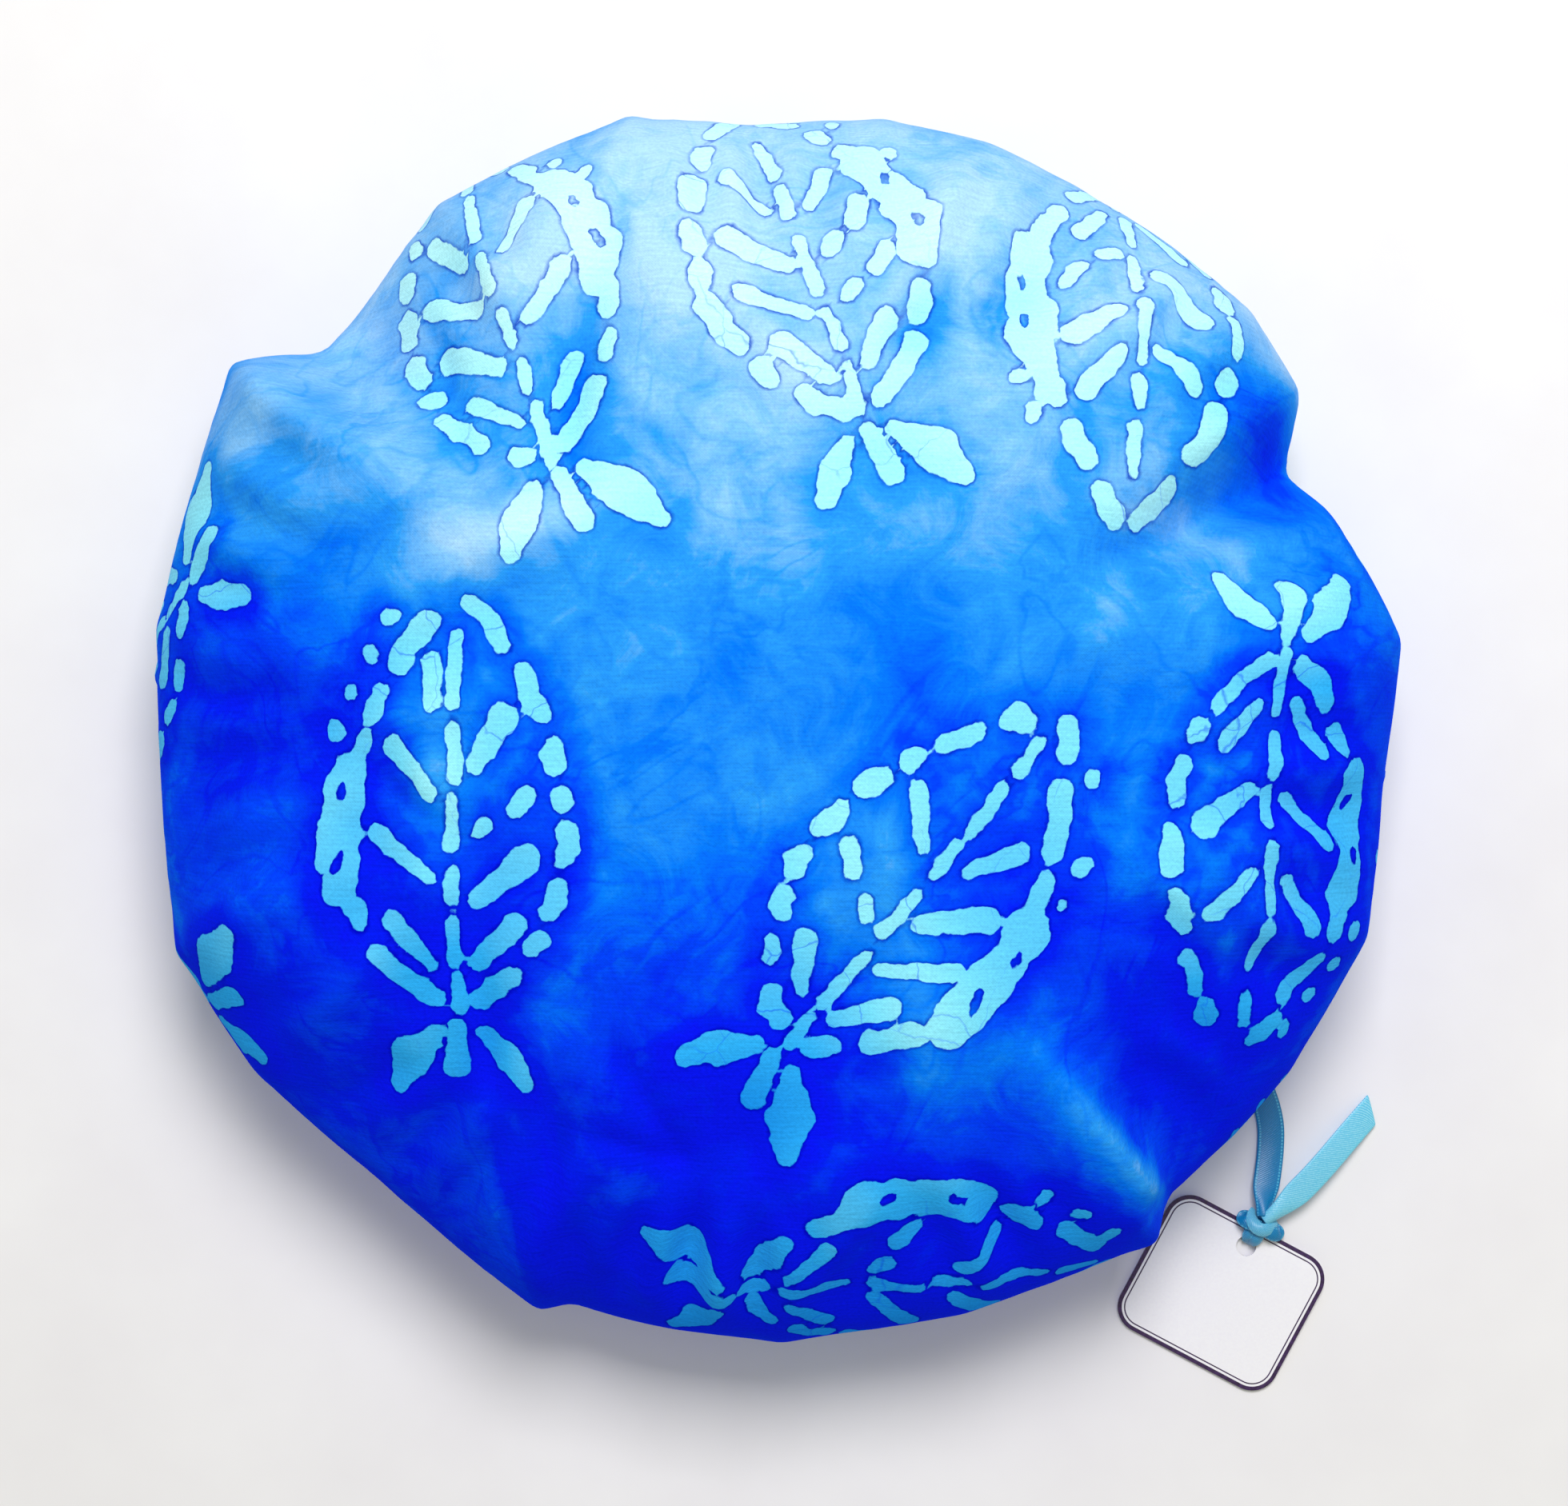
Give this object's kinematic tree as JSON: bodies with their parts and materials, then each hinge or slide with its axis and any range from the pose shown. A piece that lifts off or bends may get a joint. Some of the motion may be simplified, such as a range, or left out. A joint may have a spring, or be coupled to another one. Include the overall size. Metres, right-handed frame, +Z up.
{
  "type": "shower cap",
  "caption": "Round elasticated shower cap of wax-resist dyed cotton with a waterproof lining, lying crown up, with a satin ribbon and a swing tag.",
  "frame": {"origin": "on the table, under the middle of the cap's outline, not counting the ribbon and tag", "axes": "+Z up through the crown; +X right and +Y away from the viewer, so the tag lies towards +X and -Y"},
  "size_m": [0.2724, 0.2834, 0.082],
  "materials": {
    "batik_cotton": "plain-weave cotton, wax-resist dyed in mottled blues with pale cyan motifs",
    "lining_cloth": "thin coated waterproof lining, soft sheen",
    "casing_tape": "folded cotton tape, gathered and stitched",
    "elastic_braid": "white braided elastic",
    "satin_ribbon": "turquoise single-face satin, brighter on its face than on its back",
    "tag_card": "smooth white card with a thin printed border line"
  },
  "bodies": {
    "cap": {"outer_cover": "batik_cotton", "lining": "lining_cloth", "elastic_casing": "casing_tape", "elastic_band": "elastic_braid"},
    "ribbon": {"ribbon_run": "satin_ribbon", "ribbon_knot": "satin_ribbon", "ribbon_tail": "satin_ribbon"},
    "tag": {"swing_tag": "tag_card"}
  },
  "joints": [
    {"name": "ribbon_swing", "type": "hinge", "parent": "cap", "child": "ribbon", "pos_m": [0.0715, -0.0447, 0.00135], "axis": [0, 0, 1], "range_deg": [-20, 20]},
    {"name": "tag_swivel", "type": "hinge", "parent": "ribbon", "child": "tag", "pos_m": [0.1063, -0.1171, 0.0012], "axis": [0, 0, 1], "range_deg": [-25, 25]}
  ]
}
